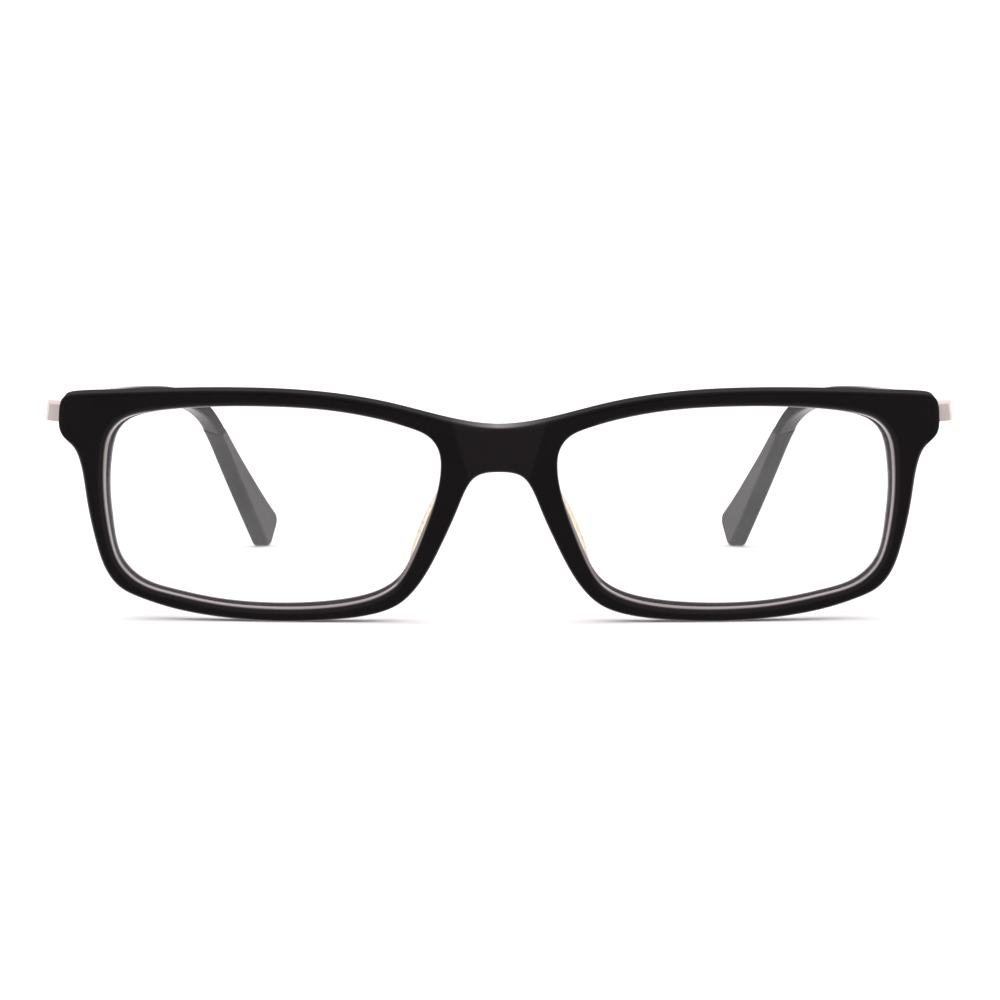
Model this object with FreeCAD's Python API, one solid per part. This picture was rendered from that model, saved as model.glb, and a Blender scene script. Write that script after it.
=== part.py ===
import FreeCAD, Part
import math
import os

# Full-rim plastic spectacle frame, eye size 54, bridge 17, temples 140, with demo lenses.
# Axes: the front faces -Y, the temples run back along +Y, +Z is up, the left side of the
# wearer is +X. The frame stands open on its two rims and its two temple tips, at z = 0.
# Everything is in millimetres. Only the left side is modelled, and the right is its mirror.

V = FreeCAD.Vector

# --- the front, in its own upright frame: x across, y depth behind its face, z up the face ---
FACE_LEAN = 8.0            # degrees that the top of the face leans forward
FACE_RADIUS = 130.0        # curvature of each eye's face, seen from above
FACE_CENTRE_X = 23.04      # centre of that curvature, so each eye is also turned back 5.5 degrees
EYE_TURN = 5.5             # degrees from the front's depth to each lens's own axis
RIM_DEPTH = 4.2            # front to back thickness of the rims
BRIDGE_BACK = 5.75         # depth of the middle of the bridge's back
EYE_CENTRE = (35.6, 18.25)  # middle of the lens opening, and half its width and height
EYE_HALF = (26.7, 16.35)

# --- edges and lenses ---
EDGE_BREAK = 0.4           # bevel along the long edges of the front
TEMPLE_BREAK = 0.3         # and of the temples
GROOVE_DEPTH = 0.5         # how far the lens stands into the rim
LENS_SETBACK = 1.0         # rim face to lens face
LENS_THICK = 1.6

# --- end pieces and hinges, in the standing frame ---
RIM_FOOT = 0.126           # height of the leaned rims' lowest edge before they are set down
LUG_LOW = (61.3, 5.0, 29.3)
LUG_HIGH = (71.0, 10.2, 35.3)   # y is the flat rear face that the open temple meets
PIN_X = 66.0
PIN_Y = 12.0
HINGE_FLOOR = 30.35        # underside of the lowest knuckle
KNUCKLE_HEIGHT = 0.86
KNUCKLE_GAP = 0.05
KNUCKLE_RADIUS = 1.35
SCREW_RADIUS = 0.60
SCREW_PLAY = 0.04          # radial clearance of the screw in the temple's knuckles
HEAD_RADIUS = 0.95
HEAD_HEIGHT = 0.40

# --- metal end blocks ---
BUTT_GAP = 0.12            # open temple end to end piece
BLOCK_INNER_X = 67.8
BLOCK_OUTER_X = 72.6
BLOCK_REAR_Y = 19.0
BLOCK_FLOOR = 31.05
BLOCK_HEIGHT = 3.25
BLOCK_ROLL = 6.0           # degrees that the block's outer side is rolled up
BLOCK_BEVEL = 0.55
TANG_THICK = 1.4
TANG_REAR_Y = 27.0         # the block's tang ends here, inside the arm

# --- temples ---
TEMPLE_THICK = 3.2
TEMPLE_OUTER_X = 71.4      # outer face of the temple, taken forward to TEMPLE_START_Y
TEMPLE_START_Y = 10.0
TEMPLE_SPLAY = 7.25        # degrees that the straight run turns inwards
TEMPLE_STRAIGHT = 60.5     # length of that run
TEMPLE_CURVE = 415.0       # beyond it the temple curves inwards on this radius
TEMPLE_SWEEP = 11.5        # through this many degrees
TIP_ROUND = 2.1            # corner radius of the temple's end, seen from the side
CORE_HALF_HEIGHT = 0.75
CORE_THICK = 1.0
CORE_REAR_Y = 131.0

# Middle line of the temple seen from the side: y, z and half height there.
TEMPLE_LINE = [
    (19.0, 33.05, 1.9), (40.0, 33.5, 1.95), (64.0, 33.3, 1.88), (80.0, 32.6, 1.75),
    (91.0, 31.4, 1.62), (98.4, 29.8, 1.55), (104.9, 27.3, 1.52), (110.7, 23.6, 1.65),
    (115.9, 19.6, 2.0), (120.9, 15.7, 2.45), (125.8, 11.85, 2.9), (131.1, 7.65, 3.4),
    (136.4, 3.5, 4.0),
]
SEAM_POINT = V(55.7, 107.3, 24.45)    # the tip sleeve begins on a slanted cut
SEAM_NORMAL = V(0.50, 0.40, -0.76)

MIDDLE_Y = 67.36           # middle of the whole frame's depth, which becomes y = 0

# --- outlines of the left half of the front, x and z in the upright frame ---
OUTLINE = [
    (0.0, 30.95), (7.8, 32.1), (16.5, 34.45), (26.0, 36.15), (40.0, 36.8), (54.0, 36.2),
    (63.0, 35.5), (67.1, 35.05), (68.75, 34.45), (69.4, 33.1), (69.6, 31.3), (69.6, 29.7),
    (69.15, 28.4), (68.15, 27.4), (67.1, 26.3), (66.4, 24.7), (65.42, 18.8), (63.92, 11.1),
    (62.52, 7.1), (60.4, 4.45), (57.05, 2.9), (51.1, 1.36), (42.5, 0.3), (34.3, 0.0),
    (26.2, 0.4), (20.1, 1.22), (15.85, 2.8), (12.45, 6.2), (9.05, 12.3), (6.55, 17.85),
    (5.05, 21.3), (3.75, 23.0), (2.1, 23.7), (0.0, 23.85),
]
OPENING = [
    (9.42, 27.15), (9.17, 24.6), (10.12, 19.2), (11.95, 13.8), (13.88, 9.25), (15.85, 6.2),
    (18.85, 4.18), (23.5, 2.84), (29.9, 2.15), (37.0, 2.05), (44.7, 2.57), (52.0, 3.82),
    (57.25, 5.4), (60.3, 8.25), (61.72, 12.4), (62.48, 18.2), (62.43, 24.7), (61.6, 28.75),
    (59.4, 31.4), (55.0, 32.95), (46.8, 34.0), (37.0, 34.33), (28.2, 34.0), (19.6, 32.65),
    (13.75, 30.95), (10.75, 29.35),
]


def face_depth(x, setback=0.0):
    """Depth of each eye's curved face at x, or of the surface that lies setback behind it."""
    radius = FACE_RADIUS - setback
    return FACE_RADIUS - math.sqrt(radius ** 2 - (abs(x) - FACE_CENTRE_X) ** 2)


def spline(points, **options):
    """A smooth curve through points, as a chain of edges that each span two of them."""
    curve = Part.BSplineCurve()
    curve.interpolate(Points=points, **options)
    knots = curve.getKnots()
    edges = []
    for start in range(0, len(knots) - 1, 2):
        piece = curve.copy()
        piece.segment(knots[start], knots[min(start + 2, len(knots) - 1)])
        edges.append(piece.toShape())
    return edges


def arc(first, middle, last):
    return Part.Arc(first, middle, last).toShape()


def line(first, last):
    return Part.makeLine(first, last)


def plate(edges, direction):
    """The solid that a closed run of edges sweeps along direction."""
    return Part.Face(Part.Wire(Part.__sortEdges__(edges))).extrude(direction)


def box(low, high):
    """A box between two opposite corners."""
    size = V(*high) - V(*low)
    return Part.makeBox(size.x, size.y, size.z, V(*low))


def post(x, y, radius, floor, height):
    """An upright cylinder."""
    return Part.makeCylinder(radius, height, V(x, y, floor))


def mirrored(shape):
    """The same piece on the other side of the nose."""
    return shape.mirror(V(0, 0, 0), V(1, 0, 0))


def leaned(shape):
    """A piece of the front, turned from the upright frame to the way that it stands."""
    copy = shape.copy()
    copy.rotate(V(0, 0, 0), V(1, 0, 0), FACE_LEAN)
    copy.translate(V(0, 0, -RIM_FOOT))
    return copy


def bevelled(shape, wanted, size=EDGE_BREAK):
    """The shape with a bevel along each edge that wanted picks by its middle point and box."""
    picked = []
    for edge in shape.Edges:
        middle = edge.valueAt((edge.FirstParameter + edge.LastParameter) / 2)
        if wanted(middle, edge.BoundBox):
            picked.append(edge)
    return shape.makeChamfer(size, picked)


# ---------------------------------------------------------------- front

def outline_prism():
    """Everything inside the outer outline of the front."""
    start = -3.0
    depth = 22.0
    left = [V(x, start, z) for x, z in OUTLINE]
    right = [V(-x, start, z) for x, z in OUTLINE[1:-1]]
    return plate(spline(left + right[::-1], PeriodicFlag=True), V(0, depth, 0))


def opening_prism(grow=0.0):
    """The lens opening, cut along the lens's own axis. grow widens it all round."""
    turn = math.tan(math.radians(EYE_TURN))
    start = -6.0
    length = 26.0
    points = []
    for x, z in OPENING:
        wide = (x - EYE_CENTRE[0]) * (1 + grow / EYE_HALF[0]) + EYE_CENTRE[0]
        high = (z - EYE_CENTRE[1]) * (1 + grow / EYE_HALF[1]) + EYE_CENTRE[1]
        points.append(V(wide + (face_depth(x) - start) * turn, start, high))
    return plate(spline(points, PeriodicFlag=True), V(-length * turn, length, 0))


def eye_half():
    """The left half of the front: one curved face, and a back that runs smoothly to the nose."""
    floor = -2.0
    reach = 76.0
    face = [V(x, face_depth(x), floor) for x in (0.0, reach / 2, reach)]
    back = [V(0, BRIDGE_BACK, floor)]
    back += [V(x, face_depth(x, RIM_DEPTH), floor) for x in (8, 16, 26, 38, 50, 62, reach)]
    edges = [arc(*face), line(face[-1], back[-1]), line(back[0], face[0])]
    edges += spline(back, InitialTangent=V(1, 0, 0), FinalTangent=V(1, 0.43, 0))
    half = outline_prism().common(plate(edges, V(0, 0, 44.0))).cut(opening_prism()).Solids[0]

    def long_edge(middle, bounds):
        through = bounds.YLength > 3.2 and bounds.XLength < 0.7
        return not through and bounds.XMax > 0.01

    return bevelled(half, long_edge)


def bridge():
    """The bridge has its own flat face, a little further back at its foot."""
    half_width = 8.2
    top = (0.98, 33.0)
    foot = (1.25, 20.0)
    behind = 3.6
    corners = [V(-half_width, *top), V(-half_width, *foot),
               V(-half_width, behind, foot[1]), V(-half_width, behind, top[1])]
    block = Part.Face(Part.makePolygon(corners + corners[:1])).extrude(V(2 * half_width, 0, 0))
    block = outline_prism().common(block).Solids[0]

    def face_edge(middle, bounds):
        return bounds.YMax < top[0] + 0.3 and bounds.XLength > 1.0

    return bevelled(block, face_edge)


def end_lug():
    """The end piece is thicker than the rim, and carries the hinge."""
    lug = leaned(outline_prism()).common(box(LUG_LOW, LUG_HIGH)).Solids[0]

    def inner_corner(middle, bounds):
        return middle.x < LUG_LOW[0] + 0.01 and middle.y > LUG_HIGH[1] - 0.01

    return bevelled(lug, inner_corner, 1.2)


def make_lens():
    """A domed lens whose edge stands into the rim all round."""
    centre = V(FACE_CENTRE_X, FACE_RADIUS, EYE_CENTRE[1])
    outer = Part.makeSphere(FACE_RADIUS - LENS_SETBACK, centre)
    inner = Part.makeSphere(FACE_RADIUS - LENS_SETBACK - LENS_THICK, centre)
    region = box((0.0, -5.0, -5.0), (75.0, 20.0, 45.0))
    lens = outer.common(region).cut(inner).common(opening_prism(GROOVE_DEPTH)).Solids[0]
    return leaned(lens)


def make_front(lens, leaf):
    """Rims, bridge and end pieces in one, with the lens grooves and hinge seats cut."""
    half = eye_half()
    body = leaned(half.fuse([mirrored(half), bridge()]))
    body = body.fuse([end_lug(), mirrored(end_lug())])
    body = body.cut([lens, mirrored(lens), leaf, mirrored(leaf)])
    return body.Solids[0]


def make_nose_pad(front):
    """A pad on the back of the nose side of the rim, flaring out and back."""
    tilt = 21.8
    stages = [(4.2, 9.8, 13.9, 7.0, 1.5), (6.5, 10.4, 13.5, 7.4, 1.9),
              (9.0, 11.1, 13.1, 7.2, 1.65), (10.6, 11.5, 13.0, 5.9, 0.9)]
    sections = []
    for depth, x, z, half_length, half_width in stages:
        ring = Part.Ellipse(V(0, 0, 0), half_length, half_width).toShape()
        ring.rotate(V(0, 0, 0), V(1, 0, 0), 90)
        ring.rotate(V(0, 0, 0), V(0, 1, 0), 90 - tilt)
        ring.translate(V(x, depth, z))
        sections.append(Part.Wire(ring))
    pad = Part.makeLoft(sections, True, False)
    return leaned(pad).cut(front).Solids[0]


# ---------------------------------------------------------------- hinges

def knuckle(level, reach_low, reach_high):
    """One hinge knuckle, with the web that joins it to its leaf."""
    floor = HINGE_FLOOR + level * (KNUCKLE_HEIGHT + KNUCKLE_GAP)
    barrel = post(PIN_X, PIN_Y, KNUCKLE_RADIUS, floor, KNUCKLE_HEIGHT)
    web = box((*reach_low, floor), (*reach_high, floor + KNUCKLE_HEIGHT))
    return barrel.fuse(web)


def make_front_leaf():
    """Plate, buried shoe and three knuckles."""
    plate_front = LUG_HIGH[1] - 0.85
    leaf = box((62.9, plate_front, 30.65), (67.1, LUG_HIGH[1], 34.6))
    shoe = box((63.6, 6.8, 31.6), (66.4, plate_front, 33.6))
    knuckles = [knuckle(level, (64.95, LUG_HIGH[1]), (67.05, PIN_Y)) for level in (0, 2, 4)]
    leaf = leaf.fuse([shoe] + knuckles)
    top = hinge_top()
    bore = post(PIN_X, PIN_Y, SCREW_RADIUS, HINGE_FLOOR - 1, 10.0)
    sink = post(PIN_X, PIN_Y, HEAD_RADIUS, top - HEAD_HEIGHT, 2.0)
    return leaf.cut([bore, sink]).Solids[0]


def hinge_top():
    """Height of the highest knuckle's upper face."""
    return HINGE_FLOOR + 5 * KNUCKLE_HEIGHT + 4 * KNUCKLE_GAP


def make_temple_leaf():
    """Plate let into the end block, and two knuckles."""
    leaf = box((BLOCK_INNER_X, 10.9, 31.26), (BLOCK_INNER_X + 0.8, 16.5, 33.94))
    knuckles = [knuckle(level, (PIN_X, PIN_Y - 1.0), (BLOCK_INNER_X, PIN_Y + 1.0)) for level in (1, 3)]
    bore = post(PIN_X, PIN_Y, SCREW_RADIUS + SCREW_PLAY, HINGE_FLOOR - 1, 10.0)
    return leaf.fuse(knuckles).cut(bore).Solids[0]


def make_screw():
    """Slotted hinge screw, held by the front leaf."""
    top = hinge_top()
    shank = post(PIN_X, PIN_Y, SCREW_RADIUS, HINGE_FLOOR + 0.1, top - HINGE_FLOOR - 0.1)
    head = post(PIN_X, PIN_Y, HEAD_RADIUS, top - HEAD_HEIGHT, HEAD_HEIGHT)
    slot = box((PIN_X - 1.2, PIN_Y - 0.14, top - 0.2), (PIN_X + 1.2, PIN_Y + 0.14, top + 1.0))
    return shank.fuse(head).cut(slot).Solids[0]


# ---------------------------------------------------------------- temples

def temple_band(outset, thick):
    """A strip that follows the temple seen from above, outset in from its outer face."""
    along = V(-math.sin(math.radians(TEMPLE_SPLAY)), math.cos(math.radians(TEMPLE_SPLAY)), 0)
    inwards = V(-along.y, along.x, 0)
    start = V(TEMPLE_OUTER_X, TEMPLE_START_Y, 0)
    turn = start + along * TEMPLE_STRAIGHT
    centre = turn + inwards * TEMPLE_CURVE
    edges = []
    ends = []
    for offset in (outset, outset + thick):
        bend = []
        for share in (0.0, 0.5, 1.0):
            spoke = FreeCAD.Rotation(V(0, 0, 1), TEMPLE_SWEEP * share).multVec(inwards)
            bend.append(centre - spoke * (TEMPLE_CURVE - offset))
        first = start + inwards * offset
        edges += [line(first, bend[0]), arc(*bend)]
        ends.append((first, bend[2]))
    edges += [line(ends[0][0], ends[1][0]), line(ends[0][1], ends[1][1])]
    return plate(edges, V(0, 0, 45.0))


def temple_side(half_height=None):
    """The temple seen from the side, as a plate right across it, or a strip of even height."""
    middle = Part.BSplineCurve()
    middle.interpolate(Points=[V(0, y, z) for y, z, _ in TEMPLE_LINE])
    upper = []
    lower = []
    for y, z, half in TEMPLE_LINE:
        along = middle.tangent(middle.parameter(V(0, y, z)))[0]
        across = V(0, -along.z, along.y) * (half_height or half)
        upper.append(V(0, y, z) + across)
        lower.append(V(0, y, z) - across)
    out = V(0, upper[-1].z - lower[-1].z, lower[-1].y - upper[-1].y).normalize()
    up = V(0, -out.z, out.y)
    if half_height:
        end = [line(lower[-1], upper[-1])]
    else:
        low_centre = lower[-1] + up * TIP_ROUND
        high_centre = upper[-1] - up * TIP_ROUND
        slant = math.sqrt(0.5) * TIP_ROUND
        end = [
            arc(lower[-1], low_centre + (out - up) * slant, low_centre + out * TIP_ROUND),
            line(low_centre + out * TIP_ROUND, high_centre + out * TIP_ROUND),
            arc(high_centre + out * TIP_ROUND, high_centre + (out + up) * slant, upper[-1]),
        ]
    edges = spline(lower) + end + spline(upper) + [line(upper[0], lower[0])]
    side = plate(edges, V(60, 0, 0))
    side.translate(V(30, 0, 0))
    return side


def make_core():
    """Steel core wire, from the block's tang to inside the tip."""
    core = temple_side(CORE_HALF_HEIGHT).common(temple_band((TEMPLE_THICK - CORE_THICK) / 2, CORE_THICK))
    length = box((30.0, TANG_REAR_Y, -5.0), (80.0, CORE_REAR_Y, 45.0))
    return core.common(length).Solids[0]


def make_block():
    """Metal end block of the temple, with the tang that goes into the arm."""
    front = LUG_HIGH[1] + BUTT_GAP
    corners = [(BLOCK_INNER_X, front), (BLOCK_OUTER_X, front), (72.0, 13.2),
               (70.3, BLOCK_REAR_Y), (67.05, BLOCK_REAR_Y), (BLOCK_INNER_X, 14.4)]
    ring = [V(x, y, BLOCK_FLOOR) for x, y in corners]
    block = Part.Face(Part.makePolygon(ring + ring[:1])).extrude(V(0, 0, BLOCK_HEIGHT))

    def front_edge(middle, bounds):
        outer = middle.x > BLOCK_OUTER_X - 0.01
        above = middle.z > BLOCK_FLOOR + BLOCK_HEIGHT - 0.01
        return middle.y < front + 0.01 and (outer or above)

    block = bevelled(block, front_edge, BLOCK_BEVEL)
    block.rotate(V(PIN_X + 3.8, 0, BLOCK_FLOOR + BLOCK_HEIGHT / 2), V(0, 1, 0), -BLOCK_ROLL)
    tang = temple_side(1.0).common(temple_band((TEMPLE_THICK - TANG_THICK) / 2, TANG_THICK))
    tang = tang.common(box((30.0, BLOCK_REAR_Y - 0.2, 0.0), (80.0, TANG_REAR_Y, 45.0)))
    return block.fuse(tang).Solids[0]


def make_rivet():
    """Pin that holds the tang in the arm, pushed in from the inner side."""
    middle_y = 23.0
    along = math.radians(TEMPLE_SPLAY)
    outwards = V(math.cos(along), math.sin(along), 0)
    inner_x = TEMPLE_OUTER_X - (middle_y - TEMPLE_START_Y) * math.tan(along)
    inner_x -= TEMPLE_THICK / math.cos(along)
    point = V(inner_x, middle_y, 33.15)
    return Part.makeCylinder(0.55, 2.6, point, outwards)


def make_temple(block, core, rivet):
    """Arm and tip sleeve, cut apart on the slanted seam."""
    blade = temple_side().common(temple_band(0.0, TEMPLE_THICK)).Solids[0]

    def long_edge(middle, bounds):
        across = bounds.XLength > 0.8 * TEMPLE_THICK and bounds.ZLength < 0.1 and bounds.YLength < 1.5
        upright = bounds.XLength < 0.1 and bounds.YLength < 0.1
        return middle.y > BLOCK_REAR_Y + 0.1 and not across and not upright

    blade = bevelled(blade, long_edge, TEMPLE_BREAK)
    blade = blade.cut([block, core, rivet])
    beyond = Part.makeCylinder(60.0, 80.0, SEAM_POINT, SEAM_NORMAL)
    return blade.cut(beyond).Solids[0], blade.common(beyond).Solids[0]


def main():
    os.makedirs("parts", exist_ok=True)
    lens = make_lens()
    front_leaf = make_front_leaf()
    front = make_front(lens, front_leaf)
    temple_leaf = make_temple_leaf()
    block = make_block().cut(temple_leaf)
    core = make_core()
    rivet = make_rivet()
    arm, tip = make_temple(block, core, rivet)
    block = block.cut(rivet).Solids[0]
    pieces = {
        "lens": lens,
        "nose_pad": make_nose_pad(front),
        "front_hinge_leaf": front_leaf,
        "temple_hinge_leaf": temple_leaf,
        "hinge_screw": make_screw(),
        "temple_end_block": block,
        "temple_tang_rivet": rivet,
        "temple_core_wire": core,
        "temple_arm": arm,
        "temple_tip": tip,
    }
    nodes = {"front_frame": front}
    for name, shape in pieces.items():
        nodes[name + "_left"] = shape
        nodes[name + "_right"] = mirrored(shape)
    for name, shape in nodes.items():
        shape.translate(V(0, -MIDDLE_Y, 0))
        shape.exportStep("parts/" + name + ".step")


main()
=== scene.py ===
import math

import bmesh
import bpy
import numpy as np
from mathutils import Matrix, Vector
from mathutils.geometry import delaunay_2d_cdt


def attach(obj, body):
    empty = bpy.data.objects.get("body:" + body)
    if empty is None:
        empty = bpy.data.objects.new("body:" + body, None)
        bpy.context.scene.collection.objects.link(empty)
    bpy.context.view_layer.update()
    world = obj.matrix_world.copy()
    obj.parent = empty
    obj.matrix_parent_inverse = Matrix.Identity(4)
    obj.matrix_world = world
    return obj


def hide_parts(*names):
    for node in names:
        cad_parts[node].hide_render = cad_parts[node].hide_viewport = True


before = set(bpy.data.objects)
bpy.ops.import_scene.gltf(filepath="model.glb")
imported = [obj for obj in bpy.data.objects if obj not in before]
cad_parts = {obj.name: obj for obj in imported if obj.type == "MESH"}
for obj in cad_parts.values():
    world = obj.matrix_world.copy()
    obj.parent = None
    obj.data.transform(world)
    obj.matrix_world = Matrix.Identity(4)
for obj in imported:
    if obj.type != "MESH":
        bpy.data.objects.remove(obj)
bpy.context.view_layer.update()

# Looks of the spectacle frame. Lengths in the shape code are in millimetres, in the frame that
# the model was designed in, and MM and MIDDLE_Y bring them to the row frame in metres.

MM = 0.001
MIDDLE_Y = 67.36

# --- the front ---
FACE_LEAN = math.radians(8.0)
FACE_DROP = 0.126
FACE_RADIUS = 130.0
FACE_CENTRE = (23.04, 18.25)
EYE_TURN = math.tan(math.radians(5.5))
RIM_DEPTH = 4.2
FRONT_ROUND = 0.62         # radius of the front's long edges
BRIDGE_HALF = 8.2          # the bridge's flat face: half width, depth at its top, and its slope
BRIDGE_TOP = (0.98, 33.0)
BRIDGE_SLOPE = 0.27 / 13.0
BRIDGE_BACK = 5.75
BRIDGE_EASE = 8.0          # from here to the middle the back eases to BRIDGE_BACK
CREASES = [((s * 7.16, 31.0), (s * 5.25, 24.4)) for s in (1, -1)]
CREASE_STEPS = 12
BROW_FLOOR = 28.0          # outer edges above this height are the brow

# How far the back edge of an opening closes in, by the angle round it from the temple side.
DRAFT_ANGLES = (-180, -172, -160, -135, -110, -90, -60, -30, -20, -10,
                5, 14, 20, 30, 45, 60, 80, 165, 180)
DRAFTS = (0.3, 0.55, 0.66, 0.68, 0.5, 0.3, 0.06, 0.0, 0.15, 0.34,
          0.4, 0.5, 0.63, 0.84, 0.85, 0.5, 0.0, 0.0, 0.3)

OUTLINE = [
    (0.0, 30.95), (7.8, 32.1), (16.5, 34.45), (26.0, 36.15), (40.0, 36.8), (54.0, 36.2),
    (63.0, 35.5), (67.1, 35.05), (68.75, 34.45), (69.4, 33.1), (69.6, 31.3), (69.6, 29.7),
    (69.15, 28.4), (68.15, 27.4), (67.1, 26.3), (66.4, 24.7), (65.42, 18.8), (63.92, 11.1),
    (62.52, 7.1), (60.4, 4.45), (57.05, 2.9), (51.1, 1.36), (42.5, 0.3), (34.3, 0.0),
    (26.2, 0.4), (20.1, 1.22), (15.85, 2.8), (12.45, 6.2), (9.05, 12.3), (6.55, 17.85),
    (5.05, 21.3), (3.75, 23.0), (2.1, 23.7), (0.0, 23.85),
]
OPENING = [
    (9.42, 27.15), (9.17, 24.6), (10.12, 19.2), (11.95, 13.8), (13.88, 9.25), (15.85, 6.2),
    (18.85, 4.18), (23.5, 2.84), (29.9, 2.15), (37.0, 2.05), (44.7, 2.57), (52.0, 3.82),
    (57.25, 5.4), (60.3, 8.25), (61.72, 12.4), (62.48, 18.2), (62.43, 24.7), (61.6, 28.75),
    (59.4, 31.4), (55.0, 32.95), (46.8, 34.0), (37.0, 34.33), (28.2, 34.0), (19.6, 32.65),
    (13.75, 30.95), (10.75, 29.35),
]

# --- the end pieces behind it: inner side, front, underside and top of what is cut out ---
LUG_INNER_X = 61.28
LUG_FRONT_Y = 4.95
LUG_HEIGHTS = (29.28, 35.32)
LUG_ROUND = 0.3
LUG_INSET = 0.06           # keeps their sides just inside the front's

# --- lenses ---
LENS_SETBACK = 1.0
LENS_THICK = 1.6
LENS_CENTRE = (35.6, 18.25)
LENS_HALF = (26.7, 16.35)
LENS_GROOVE = 0.45
LENS_RINGS = (0.15, 0.3, 0.45, 0.6, 0.72, 0.82, 0.9, 0.95, 0.975, 1.0)
LENS_EDGE_FROM = 0.95      # the painted violet reflection at the edge begins at this share of the way out

# --- temples ---
TEMPLE_THICK = 3.2
TEMPLE_OUTER_X = 71.4
TEMPLE_START_Y = 10.0
TEMPLE_SPLAY = math.radians(7.25)
TEMPLE_STRAIGHT = 60.5
TEMPLE_CURVE = 415.0
TEMPLE_ROUND = 0.95        # radius of the long edges
TIP_ROUND = 2.1
ARM_INSET = 0.12
TEMPLE_LINE = [
    (19.0, 33.05, 1.9), (40.0, 33.5, 1.95), (64.0, 33.3, 1.88), (80.0, 32.6, 1.75),
    (91.0, 31.4, 1.62), (98.4, 29.8, 1.55), (104.9, 27.3, 1.52), (110.7, 23.6, 1.65),
    (115.9, 19.6, 2.0), (120.9, 15.7, 2.45), (125.8, 11.85, 2.9), (131.1, 7.65, 3.4),
    (136.4, 3.5, 4.0),
]
SEAM_POINT = (55.7, 107.3, 24.45)
SEAM_NORMAL = (0.50, 0.40, -0.76)
SEAM_ROUND = 0.2

# --- nose pads: depth, x, z, half length and half width of each oval, and the rounded rim ---
PAD_TILT = math.radians(21.8)
PAD_STAGES = [(4.2, 9.8, 13.9, 7.0, 1.5), (6.5, 10.4, 13.5, 7.4, 1.9),
              (9.0, 11.1, 13.1, 7.2, 1.65), (10.6, 11.5, 13.0, 5.9, 0.9)]
PAD_RIM_FROM = 9.4
PAD_RIM = 1.15
PAD_RIM_CLOSES = 1.16      # just past its end, so that its last oval has some width
PAD_RIM_SHORTENS = 1.1
PAD_FULLNESS = 0.8         # under one, the ovals are fuller than ellipses
PAD_POINTS = 56

# --- the bevels of the metal pieces ---
BLOCK_ROUND = 0.28
HINGE_ROUND = 0.06

# --- the camera, in metres and degrees: before the front's face, and looking down a little ---
CAMERA_ASIDE = 0.00014
CAMERA_AWAY = 0.45
CAMERA_HEIGHT = 0.05233
CAMERA_DOWN = 4.2


# ------------------------------------------------------------------ curves

def spline(points, closed, step):
    """Points about step apart along the smooth curve through points."""
    p = np.array(points, float)
    n = len(p)
    spans = n if closed else n - 1
    ahead = np.roll(p, -1, 0)
    h = np.linalg.norm(ahead - p, axis=1)
    slope = (ahead - p) / h[:, None]
    system = np.eye(n)
    right = np.zeros_like(p)
    for i in range(n) if closed else range(1, n - 1):
        system[i] = 0
        system[i, i] = 2 * (h[i - 1] + h[i])
        system[i, i - 1] += h[i - 1]
        system[i, (i + 1) % n] += h[i]
        right[i] = 6 * (slope[i] - slope[i - 1])
    bend = np.linalg.solve(system, right)
    fine = []
    for i in range(spans):
        a, b = bend[i], bend[(i + 1) % n]
        t = np.linspace(0, h[i], 60, endpoint=False)[:, None]
        fine.append(p[i] + t * (slope[i] - h[i] * (2 * a + b) / 6) + t ** 2 * a / 2
                    + t ** 3 * (b - a) / (6 * h[i]))
    fine.append(p[:1] if closed else p[-1:])
    return evenly(np.vstack(fine), step, closed)


def evenly(path, step, closed=False):
    """The same path, at even spacing."""
    run = np.concatenate([[0], np.cumsum(np.linalg.norm(np.diff(path, axis=0), axis=1))])
    count = max(2, round(run[-1] / step))
    at = np.linspace(0, run[-1], count + 1)
    if closed:
        at = at[:-1]
    return np.column_stack([np.interp(at, run, path[:, k]) for k in range(path.shape[1])])


def loop_normals(loop):
    """Outward normals of a closed loop, whichever way it runs."""
    along = np.roll(loop, -1, 0) - np.roll(loop, 1, 0)
    along /= np.linalg.norm(along, axis=1)[:, None]
    area = np.sum(loop[:, 0] * np.roll(loop[:, 1], -1) - np.roll(loop[:, 0], -1) * loop[:, 1])
    normals = np.column_stack([along[:, 1], -along[:, 0]])
    return normals if area > 0 else -normals


def inside(points, loop):
    """Which of the points lie inside the closed loop."""
    x, y = points[:, 0][:, None], points[:, 1][:, None]
    ax, ay = loop[:, 0][None], loop[:, 1][None]
    bx, by = np.roll(loop[:, 0], -1)[None], np.roll(loop[:, 1], -1)[None]
    crosses = (ay > y) != (by > y)
    rise = np.where(by == ay, 1.0, by - ay)
    return np.sum(crosses & (x < (bx - ax) * (y - ay) / rise + ax), axis=1) % 2 == 1


# ------------------------------------------------------------------ plates with rounded edges

FILLING_PART = 4000        # points compared at a time, to save memory
EDGE_STEPS = 7
EDGE_FLAT = 0.14           # narrow strip that keeps each rounded edge's shading to itself


def edge_profile(radius):
    """Inset from the outline, and depth behind the face, of each ring round a rounded edge."""
    turn = np.linspace(0, math.pi / 2, EDGE_STEPS)
    insets = np.concatenate([[radius + EDGE_FLAT], radius * (1 - np.sin(turn)), [0.0]])
    depths = np.concatenate([[0.0], radius * (1 - np.cos(turn)), [radius + EDGE_FLAT]])
    return insets, depths


def between(points, rims):
    """Which of the points lie inside the first rim and outside the others."""
    found = inside(points, rims[0])
    for rim in rims[1:]:
        found &= ~inside(points, rim)
    return found


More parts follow.
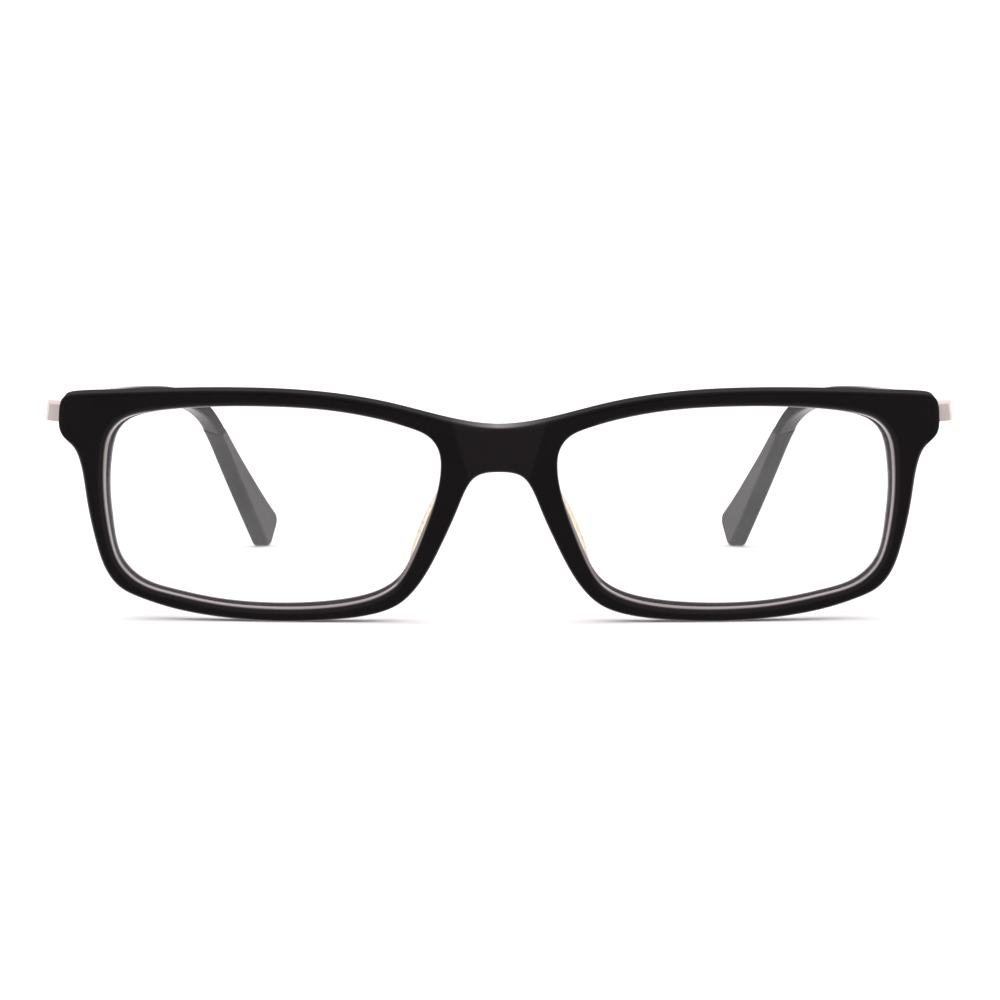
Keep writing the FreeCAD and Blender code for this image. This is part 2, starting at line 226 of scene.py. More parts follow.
def filling(outer, rims, spacing, creases):
    """Points spread evenly over a plate's flat, clear of its rims and creases."""
    low, high = outer.min(0), outer.max(0)
    columns = np.arange(low[0] + spacing / 2, high[0], spacing)
    rows = np.arange(low[1] + spacing / 2, high[1], spacing)
    grid = np.array([(a, b) for a in columns for b in rows])
    grid = grid[between(grid, rims)]
    rim_points = np.vstack(rims)
    clear = []
    for part in np.array_split(grid, len(grid) // FILLING_PART + 1):
        gap = np.min(np.linalg.norm(part[:, None] - rim_points[None], axis=2), axis=1)
        clear.append(gap >= 0.45 * spacing)
    grid = grid[np.concatenate(clear)]
    for first, last in creases:
        along = np.subtract(last, first)
        from_first = grid - first
        away = np.abs(along[0] * from_first[:, 1] - along[1] * from_first[:, 0])
        grid = grid[away / np.linalg.norm(along) > 0.3 * spacing]
    return grid


def flat_sheet(outer, rims, spacing, creases):
    """A plate's flat: its points, its triangles, and where each rim point is among them."""
    flat = list(np.vstack(rims)) + list(filling(outer, rims, spacing, creases))
    edges = []
    base = 0
    for rim in rims:
        edges += [(base + i, base + (i + 1) % len(rim)) for i in range(len(rim))]
        base += len(rim)
    for first, last in creases:
        base = len(flat)
        along = np.subtract(last, first)
        flat += [first + along * k / CREASE_STEPS for k in range(CREASE_STEPS + 1)]
        edges += [(base + k, base + k + 1) for k in range(CREASE_STEPS)]
    sheet, _, triangles, sources, _, _ = delaunay_2d_cdt([Vector(p) for p in flat],
                                                         edges, [], 1, 1e-5)
    sheet = np.array([tuple(p) for p in sheet])
    centres = np.array([sheet[list(f)].mean(0) for f in triangles])
    triangles = [list(f) for f, kept in zip(triangles, between(centres, rims)) if kept]
    rim_index = {}
    for index, origins in enumerate(sources):
        for origin in origins:
            rim_index.setdefault(origin, index)
    return sheet, triangles, rim_index


def rounded_plate(outer, holes, near, far, radius, place, spacing, creases=()):
    """A plate between two surfaces, its long edges rounded. outer and holes are loops in the
    plate's own plane, near and far give each surface's depth there, and place brings (plane
    point, depth, which loop, how far past the near surface) to the working frame. Its marks
    say how far past that surface a point is, and if it's on a hole's wall or the outer edge."""
    insets, depths = edge_profile(radius)
    loops = [(outer, -loop_normals(outer))] + [(hole, loop_normals(hole)) for hole in holes]
    rims = [loop + insets[0] * way for loop, way in loops]
    sheet, triangles, rim_index = flat_sheet(outer, rims, spacing, creases)
    count = len(sheet)
    points = []
    marks = {"past": [], "hole": [], "edge": []}

    def add(flat, depth, start, which, on_wall):
        first = len(points)
        points.extend(place(p, d, k, d - s) for p, d, k, s in zip(flat, depth, which, start))
        marks["past"] += list(depth - start)
        marks["hole"] += list(on_wall * (which > 0))
        marks["edge"] += list(on_wall * (which == 0))
        return range(first, len(points))

    which = -np.ones(count, int)
    starts = []
    base = 0
    for index, rim in enumerate(rims):
        starts.append([rim_index[base + i] for i in range(len(rim))])
        which[starts[-1]] = index
        base += len(rim)
    add(sheet, near(sheet), near(sheet), which, 0.0)
    add(sheet, far(sheet), near(sheet), which, 0.0)
    faces = []
    for triangle in triangles:
        faces += [triangle, [i + count for i in reversed(triangle)]]

    for index, (loop, way) in enumerate(loops):
        n = len(loop)
        which = np.full(n, index)
        strips = [starts[index]]
        for inset, depth in list(zip(insets, depths))[1:]:
            flat = loop + inset * way
            strips.append(add(flat, near(flat) + depth, near(flat), which, 1.0))
        for inset, depth in list(zip(insets, depths))[:0:-1]:
            flat = loop + inset * way
            strips.append(add(flat, far(flat) - depth, near(flat), which, 1.0))
        strips.append([i + count for i in starts[index]])
        for one, other in zip(strips, strips[1:]):
            faces += [[one[i], one[(i + 1) % n], other[(i + 1) % n], other[i]]
                      for i in range(n)]
    return np.array(points), faces, marks


# ------------------------------------------------------------------ meshes

def make_mesh(name, points, faces, marks):
    """A mesh in the row frame, from working-frame millimetres, with its marks kept."""
    mesh = bpy.data.meshes.new(name)
    shifted = (np.array(points) - (0, MIDDLE_Y, 0)) * MM
    mesh.from_pydata([tuple(p) for p in shifted], [], [list(map(int, f)) for f in faces])
    for mark, values in marks.items():
        mesh.attributes.new(mark, "FLOAT", "POINT").data.foreach_set("value", values)
    work = bmesh.new()
    work.from_mesh(mesh)
    bmesh.ops.remove_doubles(work, verts=work.verts, dist=1e-7)
    bmesh.ops.recalc_face_normals(work, faces=work.faces)
    work.to_mesh(mesh)
    work.free()
    return mesh


def make_object(name, mesh, sharp=None):
    """The mesh as a smooth object, but for edges sharper than sharp degrees."""
    mesh.polygons.foreach_set("use_smooth", [True] * len(mesh.polygons))
    if sharp:
        mesh.set_sharp_from_angle(angle=math.radians(sharp))
    made = bpy.data.objects.new(name, mesh)
    bpy.context.scene.collection.objects.link(made)
    return made


def cut_away(work, point, normal):
    """Take off everything on the side of the plane that normal points to."""
    bmesh.ops.bisect_plane(work, geom=work.verts[:] + work.edges[:] + work.faces[:],
                           plane_co=point, plane_no=normal, clear_outer=True, dist=1e-8)


# ------------------------------------------------------------------ the front

def lean(point):
    """From the front's own upright frame to the way it stands."""
    x, y, z = point
    c, s = math.cos(FACE_LEAN), math.sin(FACE_LEAN)
    return (x, y * c - z * s, y * s + z * c - FACE_DROP)


def face_depth(x, setback=0.0):
    """Depth of each eye's curved face at x, or of the surface that lies setback behind it."""
    return FACE_RADIUS - np.sqrt((FACE_RADIUS - setback) ** 2 - (np.abs(x) - FACE_CENTRE[0]) ** 2)


def front_face(p):
    """Depth of the front's face: two curved eyes, and the flat bridge between them."""
    curved = face_depth(p[:, 0])
    flat = BRIDGE_TOP[0] + (BRIDGE_TOP[1] - p[:, 1]) * BRIDGE_SLOPE
    return np.where(np.abs(p[:, 0]) < BRIDGE_HALF, np.minimum(curved, flat), curved)


def front_back(p):
    """Depth of its back, which eases across the nose."""
    x = np.abs(p[:, 0])
    joined = float(face_depth(BRIDGE_EASE, RIM_DEPTH))
    slope = -(FACE_CENTRE[0] - BRIDGE_EASE) / (FACE_RADIUS - RIM_DEPTH)
    t = np.clip(x / BRIDGE_EASE, 0, 1)
    eased = (BRIDGE_BACK * (2 * t ** 3 - 3 * t ** 2 + 1) + joined * (3 * t ** 2 - 2 * t ** 3)
             + slope * BRIDGE_EASE * (t ** 3 - t ** 2))
    return np.where(x < BRIDGE_EASE, eased, face_depth(np.maximum(x, BRIDGE_EASE), RIM_DEPTH))


def front_place(p, depth, which, past_face):
    """A front's point where it stands. The walls of the openings turn with the wearer's eyes,
    and close in a little towards the back."""
    x, z = p
    if which > 0:
        across = (abs(x) - LENS_CENTRE[0]) / LENS_HALF[0]
        up = (z - LENS_CENTRE[1]) / LENS_HALF[1]
        angle = math.degrees(math.atan2(up, across))
        draft = np.interp(angle, DRAFT_ANGLES, DRAFTS) * past_face / RIM_DEPTH
        way = Vector((across ** 3 / LENS_HALF[0], up ** 3 / LENS_HALF[1])).normalized()
        x -= (past_face * EYE_TURN + draft * way.x) * math.copysign(1, x)
        z -= draft * way.y
    return lean((x, depth, z))


def build_front():
    """Rims and bridge, with the brow's edge marked away from the nose."""
    left = spline(OPENING, True, 0.45)
    ring = OUTLINE + [(-x, z) for x, z in OUTLINE[1:-1][::-1]]
    outer = spline(ring, True, 0.5)
    points, faces, marks = rounded_plate(outer, [left, left * (-1, 1)], front_face, front_back,
                                         FRONT_ROUND, front_place, spacing=1.1, creases=CREASES)
    away = np.clip((np.abs(points[:, 0]) + 1.0) / 12.0, 0, 1)
    marks["brow"] = list(np.array(marks["edge"]) * away * (points[:, 2] > BROW_FLOOR))
    return make_object("front", make_mesh("front", points, faces, marks))


def cut_lug(side):
    """One end piece, cut out of the CAD front, with its edges rounded."""
    lug = bmesh.new()
    lug.from_mesh(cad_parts["front_frame"].data)
    bmesh.ops.remove_doubles(lug, verts=lug.verts, dist=1e-7)
    cut_away(lug, (side * LUG_INNER_X * MM, 0, 0), (-side, 0, 0))
    cut_away(lug, (0, (LUG_FRONT_Y - MIDDLE_Y) * MM, 0), (0, -1, 0))
    cut_away(lug, (0, 0, LUG_HEIGHTS[0] * MM), (0, 0, -1))
    cut_away(lug, (0, 0, LUG_HEIGHTS[1] * MM), (0, 0, 1))
    bmesh.ops.dissolve_limit(lug, angle_limit=math.radians(2.0), verts=lug.verts,
                             edges=lug.edges)
    sharp = [e for e in lug.edges if len(e.link_faces) == 2 and e.calc_face_angle() > 0.5]
    bmesh.ops.bevel(lug, geom=sharp, offset=LUG_ROUND * MM, segments=4, profile=0.6,
                    affect="EDGES", clamp_overlap=True)
    lug.normal_update()
    for corner in lug.verts:
        corner.co -= corner.normal * LUG_INSET * MM
    mesh = bpy.data.meshes.new("lug")
    lug.to_mesh(mesh)
    lug.free()
    return mesh


def build_lugs():
    """The thick end pieces behind the hinge side of the rims."""
    both = bmesh.new()
    for side in (1, -1):
        lug = cut_lug(side)
        both.from_mesh(lug)
        bpy.data.meshes.remove(lug)
    mesh = bpy.data.meshes.new("lugs")
    both.to_mesh(mesh)
    both.free()
    return make_object("end_pieces", mesh, 28)


# ------------------------------------------------------------------ temples

ALONG = np.array([-math.sin(TEMPLE_SPLAY), math.cos(TEMPLE_SPLAY)])
INWARDS = np.array([-ALONG[1], ALONG[0]])


def temple_x(y, offset):
    """Where the temple's outer face, or the surface offset in from it, lies at y."""
    start = np.array([TEMPLE_OUTER_X, TEMPLE_START_Y])
    turn = start + ALONG * TEMPLE_STRAIGHT
    centre = turn + INWARDS * TEMPLE_CURVE
    first = start + INWARDS * offset
    bend_y = (turn + INWARDS * offset)[1]
    straight = first[0] + (y - first[1]) * ALONG[0] / ALONG[1]
    reach = (TEMPLE_CURVE - offset) ** 2 - (y - centre[1]) ** 2
    curved = centre[0] + np.sqrt(np.maximum(reach, 0))
    return np.where(y < bend_y, straight, curved)


def temple_sides():
    """Points of the temple's upper and lower edge, seen from the side."""
    line = np.array([(y, z) for y, z, _ in TEMPLE_LINE])
    fine = spline(line, False, 0.05)
    upper, lower = [], []
    for point, (_, _, half) in zip(line, TEMPLE_LINE):
        k = int(np.argmin(np.linalg.norm(fine - point, axis=1)))
        way = fine[min(k + 1, len(fine) - 1)] - fine[max(k - 1, 0)]
        way /= np.linalg.norm(way)
        across = np.array([-way[1], way[0]]) * half
        upper.append(point + across)
        lower.append(point - across)
    return upper, lower


def temple_outline(step):
    """The temple seen from the side."""
    upper, lower = temple_sides()
    up = (upper[-1] - lower[-1]) / np.linalg.norm(upper[-1] - lower[-1])
    out = np.array([up[1], -up[0]])
    turn = np.linspace(0, math.pi / 2, 9)[:, None]
    low_centre = lower[-1] + up * TIP_ROUND
    high_centre = upper[-1] - up * TIP_ROUND
    low_arc = low_centre + TIP_ROUND * (out * np.sin(turn) - up * np.cos(turn))
    high_arc = high_centre + TIP_ROUND * (out * np.cos(turn) + up * np.sin(turn))
    path = np.vstack([spline(lower, False, step), low_arc, high_arc,
                      spline(upper, False, step)[::-1]])
    path = evenly(np.vstack([path, path[:1]]), step)[:-1]
    path[:, 1] = np.maximum(path[:, 1], 0.0)
    return path


def temple_blank(sign, inset):
    """One temple in one piece, every face set in by inset."""
    def near(p):
        return -temple_x(p[:, 0], inset)

    def far(p):
        return -temple_x(p[:, 0], TEMPLE_THICK - inset)

    def place(p, depth, which, past_face):
        return (-depth * sign, p[0], p[1])

    outline = temple_outline(0.5)
    outline = outline - loop_normals(outline) * inset
    plate = rounded_plate(outline, [], near, far, TEMPLE_ROUND - inset, place, spacing=1.0)
    return make_mesh("temple", *plate)


def build_temple(side, sign):
    """Arm and tip sleeve of one temple, cut apart on the slanted seam. The arm is a little
    slimmer, so the sleeve's edge stands proud of it."""
    made = []
    seam = (Vector(SEAM_POINT) - Vector((0, MIDDLE_Y, 0))) * MM
    normal = Vector(SEAM_NORMAL)
    seam.x *= sign
    normal.x *= sign
    for name, way, inset in (("arm", 1, ARM_INSET), ("tip", -1, 0.0)):
        mesh = temple_blank(sign, inset)
        work = bmesh.new()
        work.from_mesh(mesh)
        cut_away(work, seam, normal * way)
        rim = [e for e in work.edges if e.is_boundary]
        bmesh.ops.contextual_create(work, geom=rim)
        bmesh.ops.recalc_face_normals(work, faces=work.faces)
        bmesh.ops.bevel(work, geom=rim, offset=SEAM_ROUND * MM, segments=3, profile=0.5,
                        affect="EDGES", clamp_overlap=True)
        work.to_mesh(mesh)
        work.free()
        made.append(make_object("temple_" + name + "_" + side + "_smooth", mesh, 40))
    return made


# ------------------------------------------------------------------ lenses and pads

def lens_place(p, setback):
    """Where the point p of the opening's plane comes to lie on a lens surface. The lens's edge
    turns with the wearer's eye, as the opening does."""
    def sphere(x):
        return FACE_RADIUS - np.sqrt((FACE_RADIUS - setback) ** 2 - (x - FACE_CENTRE[0]) ** 2
                                     - (p[1] - FACE_CENTRE[1]) ** 2)

    x = p[0] - (sphere(p[0]) - float(face_depth(p[0]))) * EYE_TURN
    return lean((x, sphere(x), p[1]))


def build_lens(side, sign):
    """A domed lens, with each point's nearness to its edge marked."""
    edge = spline(OPENING, True, 0.7)
    centre = np.array(LENS_CENTRE)
    edge = (edge - centre) * (1 + LENS_GROOVE / np.array(LENS_HALF)) + centre
    n = len(edge)
    points, near_edge, faces, outer = [], [], [], []
    for setback in (LENS_SETBACK, LENS_SETBACK + LENS_THICK):
        start = len(points)
        points.append(lens_place(centre, setback))
        near_edge.append(0.0)
        for share in LENS_RINGS:
            points += [lens_place(centre + (p - centre) * share, setback) for p in edge]
            near_edge += [max(0.0, (share - LENS_EDGE_FROM) / (1 - LENS_EDGE_FROM))] * n
        made = [[start, start + 1 + i, start + 1 + (i + 1) % n] for i in range(n)]
        for ring in range(start + 1, len(points) - n, n):
            made += [[ring + i, ring + n + i, ring + n + (i + 1) % n, ring + (i + 1) % n]
                     for i in range(n)]
        faces += made if setback == LENS_SETBACK else [face[::-1] for face in made]
        outer.append(len(points) - n)
    faces += [[outer[0] + i, outer[1] + i, outer[1] + (i + 1) % n, outer[0] + (i + 1) % n]
              for i in range(n)]
    name = "lens_" + side + "_clear"
    points = np.array(points) * (sign, 1, 1)
    return make_object(name, make_mesh(name, points, faces, {"near_edge": near_edge}), 40)


def build_pad(side, sign):
    """A nose pad: smooth oval sections that flare back from the front, and a rounded rim."""
    stages = np.array(PAD_STAGES)

    def section(depth):
        return [np.interp(depth, stages[:, 0], stages[:, k]) for k in range(1, 5)]

    long_at, wide_at = section(PAD_RIM_FROM)[2:]
    rim = PAD_RIM_FROM + PAD_RIM * np.sin(np.linspace(0.1, math.pi / 2, 9))
    depths = np.concatenate([np.linspace(PAD_STAGES[0][0], PAD_RIM_FROM, 14), rim])
    points, faces = [], []
    for depth in depths:
        x, z, length, width = section(depth)
        if depth > PAD_RIM_FROM:
            left = math.sqrt(1 - ((depth - PAD_RIM_FROM) / PAD_RIM_CLOSES) ** 2)
            width = wide_at * left
            length = long_at - PAD_RIM_SHORTENS * (1 - left)
        for turn in np.linspace(0, 2 * math.pi, PAD_POINTS, endpoint=False):
            c, s = math.cos(turn), math.sin(turn)
            u = width * math.copysign(abs(c) ** PAD_FULLNESS, c)
            v = length * math.copysign(abs(s) ** PAD_FULLNESS, s)
            px = x + u * math.cos(PAD_TILT) - v * math.sin(PAD_TILT)
            pz = z + u * math.sin(PAD_TILT) + v * math.cos(PAD_TILT)
            points.append(lean((px, depth, pz)))
    last = len(points) - PAD_POINTS
    for a in range(0, last, PAD_POINTS):
        b = a + PAD_POINTS
        faces += [[a + i, a + (i + 1) % PAD_POINTS, b + (i + 1) % PAD_POINTS, b + i]
                  for i in range(PAD_POINTS)]
    faces += [list(range(PAD_POINTS)), list(range(last, len(points)))]
    name = "nose_pad_" + side + "_soft"
    return make_object(name, make_mesh(name, np.array(points) * (sign, 1, 1), faces, {}))


# ------------------------------------------------------------------ material tools

def new_material(name):
    material = bpy.data.materials.new(name)
    material.use_nodes = True
    tree = material.node_tree
    return material, tree, tree.nodes["Principled BSDF"]


def set_inputs(node, **values):
    for key, value in values.items():
        node.inputs[key.replace("_", " ")].default_value = value


def noise(tree, scale, detail=3.0, rough=0.5, stretch=(1, 1, 1)):
    """Noise on object coordinates, scale per metre."""
    where = tree.nodes.new("ShaderNodeTexCoord")
    shape = tree.nodes.new("ShaderNodeMapping")
    set_inputs(shape, Scale=stretch)
    tree.links.new(where.outputs["Object"], shape.inputs["Vector"])
    made = tree.nodes.new("ShaderNodeTexNoise")
    set_inputs(made, Scale=scale, Detail=detail, Roughness=rough)
    tree.links.new(shape.outputs["Vector"], made.inputs["Vector"])
    return made.outputs["Fac"]


def along_axis(tree, kind, axis):
    """One coordinate of a kind of texture coordinates."""
    where = tree.nodes.new("ShaderNodeTexCoord")
    parts = tree.nodes.new("ShaderNodeSeparateXYZ")
    tree.links.new(where.outputs[kind], parts.inputs[0])
    return parts.outputs[axis]


def marked(tree, name):
    """One of the marks kept on the mesh."""
    made = tree.nodes.new("ShaderNodeAttribute")
    made.attribute_name = name
    return made.outputs["Fac"]


def facing(tree, blend):
    """Nought where the surface faces the eye, rising to one at its outline."""
    made = tree.nodes.new("ShaderNodeLayerWeight")
    set_inputs(made, Blend=blend)
    return made.outputs["Facing"]


def spread(tree, value, low, high, start=0.3, end=0.7):
    """From low at start to high at end, and level beyond them."""
    made = tree.nodes.new("ShaderNodeMapRange")
    set_inputs(made, From_Min=start, From_Max=end, To_Min=low, To_Max=high)
    tree.links.new(value, made.inputs["Value"])
    return made.outputs["Result"]


def blend_colour(tree, value, first, last, start=0.3, end=0.7):
    """From the first colour at start to the last at end."""
    made = tree.nodes.new("ShaderNodeValToRGB")
    elements = made.color_ramp.elements
    for element, position, colour in zip(elements, (start, end), (first, last)):
        element.position = position
        element.color = (*colour, 1)
    tree.links.new(value, made.inputs["Fac"])
    return made.outputs["Color"]


def maths(tree, operation, *values, clamp=False):
    made = tree.nodes.new("ShaderNodeMath")
    made.operation = operation
    made.use_clamp = clamp
    for socket, value in zip(made.inputs, values):
        if isinstance(value, (int, float)):
            socket.default_value = value
        else:
            tree.links.new(value, socket)
    return made.outputs[0]


def times(tree, first, second):
    return maths(tree, "MULTIPLY", first, second)


def band(tree, value, start, full, ending, end):
    """One from full to ending, nought before start and after end."""
    return times(tree, spread(tree, value, 0.0, 1.0, start, full),
                 spread(tree, value, 1.0, 0.0, ending, end))


def mix(tree, share, first, second):
    """The socket first, and share of the colour or number second in its place."""
    made = tree.nodes.new("ShaderNodeMix")
    colour = isinstance(second, tuple)
    made.data_type = "RGBA" if colour else "FLOAT"
    at = 6 if colour else 2
    tree.links.new(share, made.inputs[0])
    tree.links.new(first, made.inputs[at])
    made.inputs[at + 1].default_value = (*second, 1) if colour else second
    return made.outputs[2 if colour else 0]


def bump(tree, shader, value, strength, distance):
    made = tree.nodes.new("ShaderNodeBump")
    set_inputs(made, Strength=strength, Distance=distance)
    tree.links.new(value, made.inputs["Height"])
    tree.links.new(made.outputs["Normal"], shader.inputs["Normal"])


# ------------------------------------------------------------------ materials

def black_acetate(name, low, high, index):
    """Polished acetate: cloudy black, with the fine uneven gloss of a handled surface."""
    material, tree, shader = new_material(name)
    cloud = noise(tree, 90.0, 4.0)
    colour = blend_colour(tree, cloud, (0.0012, 0.0007, 0.0008), (0.0024, 0.0015, 0.0017))
    handled = noise(tree, 420.0, 6.0, 0.62)
    rough = spread(tree, handled, low, high)
    set_inputs(shader, IOR=index)
    bump(tree, shader, noise(tree, 160.0, 2.0), 0.05, 0.0001)
    return material, tree, shader, colour, rough


def aside(tree):
    """Distance from the middle, to either side."""
    return maths(tree, "ABSOLUTE", along_axis(tree, "Object", "X"))


def bridge_flat(tree):
    """One on the flat between the two curved eyes, nought beyond its creases."""
    (wide, high), (narrow, low) = CREASES[0]
    slant = (wide - narrow) / (high - low)
    at_ground = (narrow - slant * low) * MM
    crease = maths(tree, "MULTIPLY_ADD", along_axis(tree, "Object", "Z"), slant, at_ground)
    gap = maths(tree, "SUBTRACT", crease, aside(tree))
    return spread(tree, gap, 0.0, 1.0, -0.00012, 0.00012)


def front_acetate():
    """The front's. The bed of each lens is left unpolished, the rear of its wall is painted
    violet as a painted reflection, and the lip before it has a glossy coat with a painted peach
    highlight. Beside the nose the whole wall is painted greyer, a painted reflection, and is
    duller. The bridge's flat is painted a little lighter, a painted reflection."""
    material, tree, shader, colour, rough = black_acetate("black_acetate", 0.12, 0.22, 1.49)
    past, hole = marked(tree, "past"), marked(tree, "hole")
    bed = times(tree, band(tree, past, 1.5, 1.75, 3.2, 3.4), hole)
    rear = times(tree, band(tree, past, 3.2, 3.4, 3.8, 4.0), hole)
    lip_highlight = times(tree, band(tree, past, 0.35, 0.6, 1.4, 1.7), hole)
    lip = times(tree, spread(tree, past, 1.0, 0.0, 1.5, 1.75), hole)
    wall = times(tree, spread(tree, past, 0.0, 1.0, 0.6, 0.75), hole)
    beyond_nose = spread(tree, aside(tree), 0.0, 1.0, 0.0145, 0.0165)
    nose = times(tree, maths(tree, "SUBTRACT", 1.0, beyond_nose), wall)

    # Painted reflection: the bridge's flat is painted a little lighter than the curved eyes
    # beside it.
    colour = mix(tree, bridge_flat(tree), colour, (0.0060, 0.0042, 0.0046))
    # Painted reflection: the rear of each opening's wall is painted violet, as it looks through
    # the coated lens.
    colour = mix(tree, rear, colour, (0.16, 0.14, 0.21))
    colour = mix(tree, bed, colour, (0.008, 0.005, 0.005))
    # Painted highlight: a light peach band on the glossy lip stands for its bright reflection.
    colour = mix(tree, lip_highlight, colour, (0.12, 0.09, 0.085))
    # Painted reflection: beside the nose the wall is painted a light pinkish grey.
    colour = mix(tree, nose, colour, (0.17, 0.13, 0.125))
    tree.links.new(colour, shader.inputs["Base Color"])
    dull = mix(tree, marked(tree, "brow"), rough, 0.9)
    dull = mix(tree, bed, dull, 0.95)
    dull = mix(tree, nose, dull, 0.75)
    tree.links.new(dull, shader.inputs["Roughness"])
    tree.links.new(times(tree, lip, beyond_nose), shader.inputs["Coat Weight"])
    set_inputs(shader, Coat_Roughness=0.08)
    return material


def temple_acetate(name, low, high, inner_rough, index):
    """The temples': rougher on the inner side."""
    material, tree, shader, colour, rough = black_acetate(name, low, high, index)
    inner = spread(tree, marked(tree, "past"), 0.0, 1.0, 2.5, 2.95)
    tree.links.new(colour, shader.inputs["Base Color"])
    tree.links.new(mix(tree, inner, rough, inner_rough), shader.inputs["Roughness"])
    return material


def metal(name, light, dark, roughness, stretch, share=1.0):
    """Metal with a fine grain, drawn out along an axis by stretch. share is how metallic."""
    material, tree, shader = new_material(name)
    grain = noise(tree, 900.0, 5.0, 0.6, stretch)
    tree.links.new(blend_colour(tree, grain, dark, light), shader.inputs["Base Color"])
    tree.links.new(spread(tree, grain, *roughness), shader.inputs["Roughness"])
    set_inputs(shader, Metallic=share)
    bump(tree, shader, grain, 0.08, 0.00002)
    return material


def clear_lens():
    """Clear, but for a trace of film, its shine at a glance and a painted violet reflection at
    its edge.
    """
    material, tree, shader = new_material("clear_lens")
    near_edge = marked(tree, "near_edge")
    film = spread(tree, noise(tree, 60.0, 2.0), 0.035, 0.05)
    glance = spread(tree, facing(tree, 0.25), 0.0, 0.5, 0.5, 1.0)
    # Painted reflection: the lens grows more opaque towards its edge, to show the violet there.
    rim = spread(tree, near_edge, 0.0, 0.30, 0.3, 1.0)
    seen = maths(tree, "ADD", maths(tree, "ADD", film, glance), rim, clamp=True)
    tree.links.new(seen, shader.inputs["Alpha"])
    # Painted reflection: the lens's colour turns violet towards its edge.
    colour = blend_colour(tree, near_edge, (0.95, 0.95, 0.97), (0.50, 0.45, 0.62), 0.3, 1.0)
    tree.links.new(colour, shader.inputs["Base Color"])
    set_inputs(shader, Roughness=0.03, IOR=1.5)
    return material


def cream_pad():
    """Soft translucent pad, painted darker towards its outline as painted shade on its
    turned-away sides.
    """
    material, tree, shader = new_material("cream_pad")
    cloud = noise(tree, 260.0, 3.0)
    colour = blend_colour(tree, cloud, (0.92, 0.81, 0.58), (0.96, 0.88, 0.68))
    # Painted shade: the pad darkens where its surface turns away, towards its outline.
    sides = spread(tree, facing(tree, 0.3), 0.0, 1.0, 0.55, 0.95)
    tree.links.new(mix(tree, sides, colour, (0.52, 0.37, 0.24)), shader.inputs["Base Color"])
    tree.links.new(spread(tree, noise(tree, 900.0, 4.0), 0.22, 0.34), shader.inputs["Roughness"])
    set_inputs(shader, Subsurface_Weight=0.6, Subsurface_Radius=(1.0, 0.8, 0.5),
               Subsurface_Scale=0.0012)
    bump(tree, shader, noise(tree, 300.0, 2.0), 0.04, 0.00004)
    return material


FRONT = front_acetate()
ARM = temple_acetate("black_acetate_arm", 0.08, 0.14, 0.85, 1.36)
TIP = temple_acetate("black_acetate_tip", 0.27, 0.31, 0.34, 1.28)
NICKEL = metal("hinge_nickel", (0.66, 0.64, 0.60), (0.48, 0.46, 0.43), (0.22, 0.34), (1, 1, 6))
STEEL = metal("screw_steel", (0.78, 0.78, 0.78), (0.58, 0.58, 0.58), (0.14, 0.24), (1, 1, 1))
SILVER = metal("satin_silver", (0.84, 0.75, 0.72), (0.76, 0.67, 0.64), (0.32, 0.42),
               (8, 1, 1), 0.42)
WIRE = metal("core_steel", (0.6, 0.6, 0.6), (0.42, 0.42, 0.42), (0.3, 0.4), (1, 8, 1))
LENS = clear_lens()
PAD = cream_pad()


# ------------------------------------------------------------------ the pieces

def paint(piece, material):
    piece.data.materials.clear()
    piece.data.materials.append(material)


def stands_for(piece, body, material, node):
    """The piece takes the CAD node's place on its body."""
    paint(piece, material)
    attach(piece, body)
    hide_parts(node)


def soften(piece, width):
    """Weld and flatten a CAD mesh, then round its edges, if width isn't nought."""
    piece.modifiers.new("weld", "WELD").merge_threshold = 1e-6
    flat = piece.modifiers.new("flat", "DECIMATE")
    flat.decimate_type = "DISSOLVE"
    flat.angle_limit = math.radians(2)
    if width:
        soft = piece.modifiers.new("soft", "BEVEL")
        soft.width = width * MM
        soft.segments = 3
        soft.limit_method = "ANGLE"
        soft.angle_limit = math.radians(35)
        soft.harden_normals = True


stands_for(build_front(), "front", FRONT, "front_frame")
stands_for(build_lugs(), "front", FRONT, "front_frame")
for side, sign in (("left", 1), ("right", -1)):
    arm, tip = build_temple(side, sign)
    body = side + "_temple"
    stands_for(arm, body, ARM, "temple_arm_" + side)
    stands_for(tip, body, TIP, "temple_tip_" + side)
    stands_for(build_lens(side, sign), "front", LENS, "lens_" + side)
    stands_for(build_pad(side, sign), "front", PAD, "nose_pad_" + side)

kept = {
    "front_hinge_leaf": (NICKEL, HINGE_ROUND),
    "temple_hinge_leaf": (NICKEL, HINGE_ROUND),
    "hinge_screw": (STEEL, HINGE_ROUND),
    "temple_tang_rivet": (STEEL, HINGE_ROUND),
    "temple_end_block": (SILVER, BLOCK_ROUND),
    "temple_core_wire": (WIRE, 0.0),
}
for base, (material, width) in kept.items():
    for side in ("_left", "_right"):
        paint(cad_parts[base + side], material)
        soften(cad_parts[base + side], width)


# ------------------------------------------------------------------ studio

scene = bpy.context.scene
scene.view_settings.view_transform = "Standard"


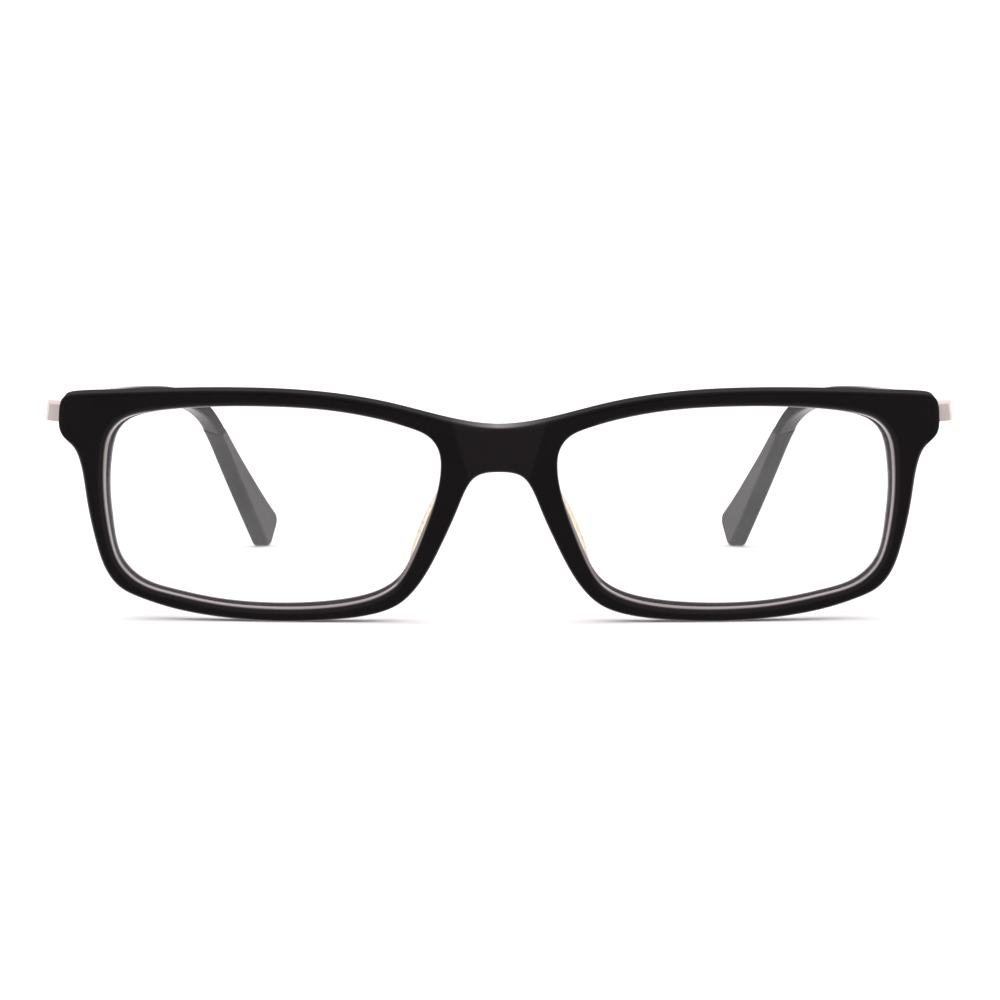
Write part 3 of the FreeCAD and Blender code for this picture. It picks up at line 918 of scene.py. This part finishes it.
def studio_sheet(name, corners, faces, colours, glow):
    """A flat sheet of the studio, or some in a row, which the object doesn't mirror."""
    mesh = bpy.data.meshes.new(name)
    mesh.from_pydata(corners, [], faces)
    made = bpy.data.objects.new(name, mesh)
    scene.collection.objects.link(made)
    material, tree, shader = new_material(name + "_white")
    tree.links.new(blend_colour(tree, noise(tree, 4.0), *colours), shader.inputs["Base Color"])
    set_inputs(shader, Roughness=0.9, Specular_IOR_Level=0.1, Emission_Color=(1, 1, 1, 1),
               Emission_Strength=glow)
    mesh.materials.append(material)
    made.visible_glossy = False
    return made


def soft_light(name, tilt, spread_angle, strength):
    """A broad light, too soft to show in the gloss."""
    data = bpy.data.lights.new(name, "SUN")
    data.angle = math.radians(spread_angle)
    data.energy = strength
    made = bpy.data.objects.new(name, data)
    made.rotation_euler = (math.radians(tilt), 0, 0)
    made.visible_glossy = False
    scene.collection.objects.link(made)


def studio_world():
    """Light from all round, dim from the front and bright from behind."""
    world = bpy.data.worlds.new("studio")
    scene.world = world
    world.use_nodes = True
    tree = world.node_tree
    depth = spread(tree, along_axis(tree, "Generated", "Y"), 0.0, 1.0, -1.0, 1.0)
    glow = blend_colour(tree, depth, (0.20, 0.185, 0.19), (1.0, 0.93, 0.93), 0.30, 0.62)
    sky = tree.nodes["Background"]
    tree.links.new(glow, sky.inputs["Color"])
    set_inputs(sky, Strength=1.05)


corners = [(-6, -4, 0), (6, -4, 0), (6, 5, 0), (-6, 5, 0)]
corners += [(x, y, 5) for x, y, _ in corners]
paper = ((0.93, 0.93, 0.93), (0.95, 0.95, 0.95))
walls = ((0.5, 0.5, 0.5), (0.52, 0.52, 0.52))
studio_sheet("floor", corners, [(0, 1, 2, 3)], paper, 0.0)
backdrop = studio_sheet("backdrop", corners, [(3, 2, 6, 7)], walls, 1.0)
backdrop.visible_diffuse = False
surround = studio_sheet("surround", corners, [(0, 1, 5, 4), (1, 2, 6, 5), (3, 0, 4, 7)],
                        walls, 1.0)
surround.visible_diffuse = False
surround.visible_shadow = False
studio_world()
soft_light("overhead", 12, 120, 2.4)
soft_light("fill", 62, 90, 0.9)

camera_data = bpy.data.cameras.new("camera")
camera = bpy.data.objects.new("camera", camera_data)
scene.collection.objects.link(camera)
camera.location = (CAMERA_ASIDE, -CAMERA_AWAY - MIDDLE_Y * MM, CAMERA_HEIGHT)
camera.rotation_euler = (math.radians(90 - CAMERA_DOWN), 0, 0)
camera_data.sensor_width = 36.0
camera_data.lens = 103.65
camera_data.clip_start = 0.01
scene.camera = camera
